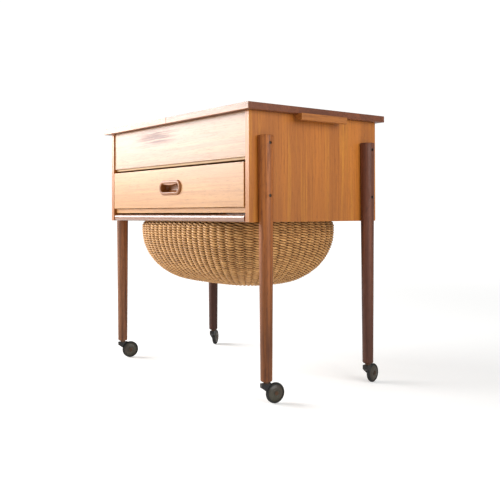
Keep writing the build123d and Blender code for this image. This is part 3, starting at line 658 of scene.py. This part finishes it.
def rim_rods(form, mesh, rng):
    """Two hoops clamp the ends of the stakes, with a strip lashed round them."""
    hoop_depth = 4.3 * MM
    hoop_radius = 2.4 * MM
    hoop_samples = 480
    wraps = 150
    per_wrap = 12
    points, normals = form.surface(np.arange(hoop_samples) / hoop_samples, hoop_depth)
    for side in (-1, 1):
        path = points + normals * side * hoop_radius
        mesh.rod(path, hoop_radius, True, rng.uniform(0, 1), normals)
    count = wraps * per_wrap
    share = np.arange(count) / count
    points, normals = form.surface(share, hoop_depth)
    turn = share * wraps * 2 * math.pi
    lift = np.sin(turn) * (hoop_radius + 0.6 * MM)
    out = np.cos(turn) * (2 * hoop_radius + 0.5 * MM)
    path = points + normals * out[:, None] + np.array([0, 0, 1.0]) * lift[:, None]
    mesh.rod(path, 0.9 * MM, True, 0.8, np.cross(normals, [0, 0, 1.0]), flatten=2.4, sides=5)


def base_rods(form, mesh, rng, inner):
    """Straight sticks that fill the middle of the base, bound across by thinner ones."""
    sticks, stick_pitch, stick_radius = 5, 4.6 * MM, 2.2 * MM
    binders, binder_radius, binder_swing = 13, 1.5 * MM, 2.6 * MM
    samples = 25
    half, height, _ = form.section(inner)
    reach_x, reach_y = half[0] + 8 * MM, half[1] + 5 * MM
    for stick in range(sticks):
        x = np.linspace(-reach_x, reach_x, samples - 1)
        y = (stick - (sticks - 1) / 2) * stick_pitch + rng.uniform(-1, 1) * 0.3 * MM
        path = np.column_stack([x, np.full_like(x, y), np.full_like(x, height)])
        mesh.rod(path, stick_radius, False, rng.uniform(0, 1))
    for binder in range(binders):
        x = (binder - (binders - 1) / 2) * half[0] / 6.6
        y = np.linspace(-reach_y, reach_y, samples)
        over = np.cos(np.arange(samples) * math.pi / 2.5 + binder * math.pi)
        path = np.column_stack([np.full_like(y, x), y, height + over * binder_swing])
        mesh.rod(path, binder_radius, False, rng.uniform(0, 1))


def cane(name, light, dark):
    """Varnished cane: every rod has its own tint, with fine streaks, and painted shade where the tint is
    raised past its own range, at the crossings of the weavers and on the rods' inner sides.
    """
    shader = Shader(name)
    tint_node = shader.tree.nodes.new("ShaderNodeAttribute")
    tint_node.attribute_name = "tint"
    tint = tint_node.outputs["Fac"]
    mottle = shader.noise(shader.stretched((160.0, 160.0, 160.0)), detail=3.0)
    fine = shader.noise(shader.stretched((900.0, 900.0, 900.0)), detail=3.0)
    patch = shader.noise(shader.stretched((14.0, 14.0, 14.0)), detail=2.0)
    middle = [0.5 * (a + b) for a, b in zip(light, dark)]
    colour = shader.mix(shader.ramp(tint, 0.0, 1.0), light, middle)
    colour = shader.mix(shader.ramp(mottle, 0.42, 0.72, 0.0, 0.75), colour, dark)
    colour = shader.mix(shader.ramp(patch, 0.40, 0.66, 0.0, 0.45), colour, middle)
    colour = shader.mix(shader.ramp(fine, 0.6, 0.75, 0.0, 0.5), colour, [0.5 * c for c in dark])
    # A tint towards the top of its range darkens the cane: painted shade, with a little of the rods' own
    # darker tint.
    colour = shader.mix(shader.ramp(tint, 0.7, 1.9, 0.0, 0.85), colour, [0.35 * c for c in dark])
    shader.set(Base_Color=colour, Roughness=shader.ramp(fine, 0.3, 0.7, 0.42, 0.6))
    shader.set(Specular_IOR_Level=0.35)
    shader.set(Normal=shader.bump(fine, 0.00015, 0.6))
    return shader.material


def weave_basket():
    """The whole basket, in six pieces that stand for the plain shell."""
    rng = np.random.default_rng(7)
    form = BasketForm()
    inner = form.edge + form.half[1] - form.turn - BASE_GAP
    material = cane("cane", linear(226, 174, 110), linear(150, 98, 50))
    middle = FIRST_ROW + UPPER_ROWS * ROW_PITCH
    last = FIRST_ROW + ROW_PITCH * round((form.edge - FIRST_ROW) / ROW_PITCH)
    pieces = (
        ("basket_weave_upper", weave_rows, (FIRST_ROW, middle - NUDGE, STAKES)),
        ("basket_weave_lower", weave_rows, (middle, last - NUDGE, STAKES)),
        ("basket_base_weave", weave_rows, (last, inner, STAKES // 2, 8)),
        ("basket_stakes", stake_rods, (inner + 3 * MM,)),
        ("basket_rim", rim_rods, ()),
        ("basket_base_sticks", base_rods, (inner,)),
    )
    for name, fill, settings in pieces:
        mesh = TubeMesh()
        fill(form, mesh, rng, *settings)
        piece = mesh.build(name, material, "basket_carriage")
        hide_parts("wicker_basket")


# --- Stage --------------------------------------------------------------------------------------
def add_floor():
    """A plain pale floor, which glows a little for the camera so that it fades into the backdrop."""
    reach = 30.0
    corners = [(-reach, -reach, 0), (reach, -reach, 0), (reach, reach, 0), (-reach, reach, 0)]
    mesh = bpy.data.meshes.new("floor")
    mesh.from_pydata(corners, [], [(0, 1, 2, 3)])
    floor = bpy.data.objects.new("floor", mesh)
    bpy.context.scene.collection.objects.link(floor)
    shader = Shader("floor")
    shader.set(Base_Color=(0.85, 0.85, 0.84), Roughness=0.7, Specular_IOR_Level=0.1)
    seen = shader.tree.nodes.new("ShaderNodeLightPath").outputs["Is Camera Ray"]
    glow = shader.ramp(shader.length(shader.coords), 0.8, 5.0, 0.30, 0.80)
    shader.set(Emission_Color=WHITE, Emission_Strength=shader.math("MULTIPLY", seen, glow))
    mesh.materials.append(shader.material)


add_camera()
add_light()
add_floor()
paint_cad()
soften_edges()
weave_basket()
